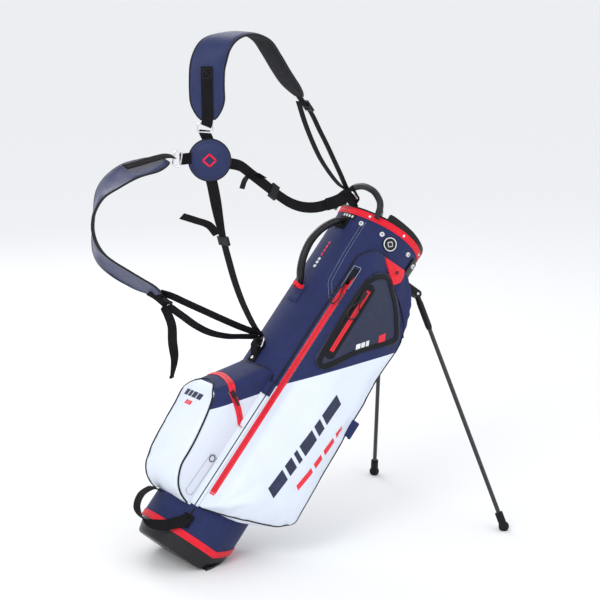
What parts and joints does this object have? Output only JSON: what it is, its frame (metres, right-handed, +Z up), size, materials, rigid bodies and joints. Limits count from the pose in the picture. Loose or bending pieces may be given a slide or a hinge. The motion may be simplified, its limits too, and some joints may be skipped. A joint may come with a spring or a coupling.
{
  "type": "golf stand bag",
  "caption": "Leaning golf stand bag with side and ball pockets, a divided mouth, carry handles, folding legs worked by a heel plate, and a double shoulder harness",
  "frame": {"origin": "Middle of the heel plate's flat underside, on the floor", "axes": "+Z up, +X from the bag's foot towards its legs, the way the bag leans, +Y across the bag away from the side pocket"},
  "size_m": [0.9332, 0.524, 1.1334],
  "materials": {
    "navy_cloth": "woven, water resistant",
    "white_cloth": "coated cloth",
    "red_cloth": "woven tape",
    "black_webbing": "ribbed webbing",
    "pad_cloth": "padded cloth",
    "base_plastic": "moulded, fine grain",
    "collar_plastic": "moulded",
    "handle_plastic": "moulded, fine grain",
    "zip_red": "zip tape",
    "panel_cloth": "embossed cloth",
    "divider_cloth": "fleece",
    "ring_metal": "polished",
    "rod_steel": "black coat",
    "leg_metal": "anodised black",
    "foot_rubber": "matte",
    "pin_steel": "plain",
    "stay_steel": "plain",
    "slider_metal": "satin black",
    "cord_black": "braided",
    "snap_white": "plain",
    "badge_plastic": "plain"
  },
  "bodies": {
    "bag": {"base_cup": "base_plastic", "heel_pin": "pin_steel", "base_band": "red_cloth", "bag_shell": "navy_cloth", "spring_stays": "stay_steel", "top_collar": "collar_plastic", "rim_band": "red_cloth", "divider_cross": "divider_cloth", "divider_panels": "divider_cloth", "top_handle": "handle_plastic", "side_handle": "handle_plastic", "side_handle_patches": "black_webbing", "base_handle": "black_webbing", "badge": "badge_plastic", "cuff_snaps": "snap_white", "apparel_pocket": "white_cloth", "apparel_zip": "zip_red", "phone_pocket": "panel_cloth", "phone_zip": "zip_red", "red_flap": "red_cloth", "ball_pocket": "white_cloth", "ball_zip": "zip_red", "leg_keeper": "navy_cloth", "leg_bracket": "collar_plastic", "leg_pins": "pin_steel", "rod_guides": "collar_plastic", "anchor_loops": "black_webbing", "leg_cord": "cord_black", "leg_cord_toggles": "collar_plastic"},
    "heel": {"heel_plate": "base_plastic"},
    "near_leg": {"near_leg_ferrule": "collar_plastic", "near_leg_tube": "leg_metal", "near_leg_foot": "foot_rubber"},
    "far_leg": {"far_leg_ferrule": "collar_plastic", "far_leg_tube": "leg_metal", "far_leg_foot": "foot_rubber"},
    "rod": {"actuator_rod": "rod_steel", "rod_yoke": "collar_plastic"},
    "apparel_zip_slider": {"apparel_slider": "slider_metal", "apparel_pull": "cord_black"},
    "phone_zip_slider": {"phone_slider": "slider_metal", "phone_pull": "cord_black"},
    "ball_zip_slider": {"ball_slider": "slider_metal"},
    "harness": {"anchor_rings": "ring_metal", "upper_pad": "pad_cloth", "left_pad": "pad_cloth", "hub": "pad_cloth", "hub_rings": "ring_metal", "hub_tabs": "black_webbing", "pad_straps": "black_webbing", "pad_buckles": "collar_plastic", "upper_strands": "black_webbing", "lower_strands": "black_webbing", "rim_strap": "black_webbing", "ring_strap": "black_webbing", "strap_sliders": "collar_plastic", "strap_tails": "black_webbing"}
  },
  "joints": [
    {"name": "near_leg_swing", "type": "hinge", "parent": "bag", "child": "near_leg", "pos_m": [0.54156, -0.065, 0.53257], "axis": [-0.3046, -0.9176, 0.2555], "range_deg": [-55, 0]},
    {"name": "far_leg_swing", "type": "hinge", "parent": "bag", "child": "far_leg", "pos_m": [0.54156, 0.065, 0.53257], "axis": [0.3046, -0.9176, -0.2555], "range_deg": [-55, 0]},
    {"name": "heel_tilt", "type": "hinge", "parent": "bag", "child": "heel", "pos_m": [-0.04263, 0, 0.0065], "axis": [0, 1, 0], "range_deg": [0, 40]},
    {"name": "rod_slide", "type": "slide", "parent": "bag", "child": "rod", "axis": [0.6428, 0, 0.766], "range_m": [-0.0755, 0]},
    {"name": "apparel_zip_slide", "type": "slide", "parent": "bag", "child": "apparel_zip_slider", "axis": [-0.6428, 0, -0.766], "range_m": [0, 0.534]},
    {"name": "phone_zip_slide", "type": "slide", "parent": "bag", "child": "phone_zip_slider", "axis": [-0.6428, 0, -0.766], "range_m": [0, 0.134]},
    {"name": "ball_zip_slide", "type": "hinge", "parent": "bag", "child": "ball_zip_slider", "pos_m": [-0.12405, -0.073, 0.28694], "axis": [0, 1, 0], "range_deg": [0, 15.5]},
    {"name": "harness_swing", "type": "hinge", "parent": "bag", "child": "harness", "pos_m": [0.15345, 0, 0.44964], "axis": [0.6428, 0, 0.766], "range_deg": [-12, 12]}
  ],
  "couplings": [
    {"joint": "far_leg_swing", "follows": "near_leg_swing", "ratio": 1},
    {"joint": "heel_tilt", "follows": "near_leg_swing", "ratio": -0.72727},
    {"joint": "rod_slide", "follows": "near_leg_swing", "m_per_rad": 0.078547}
  ]
}
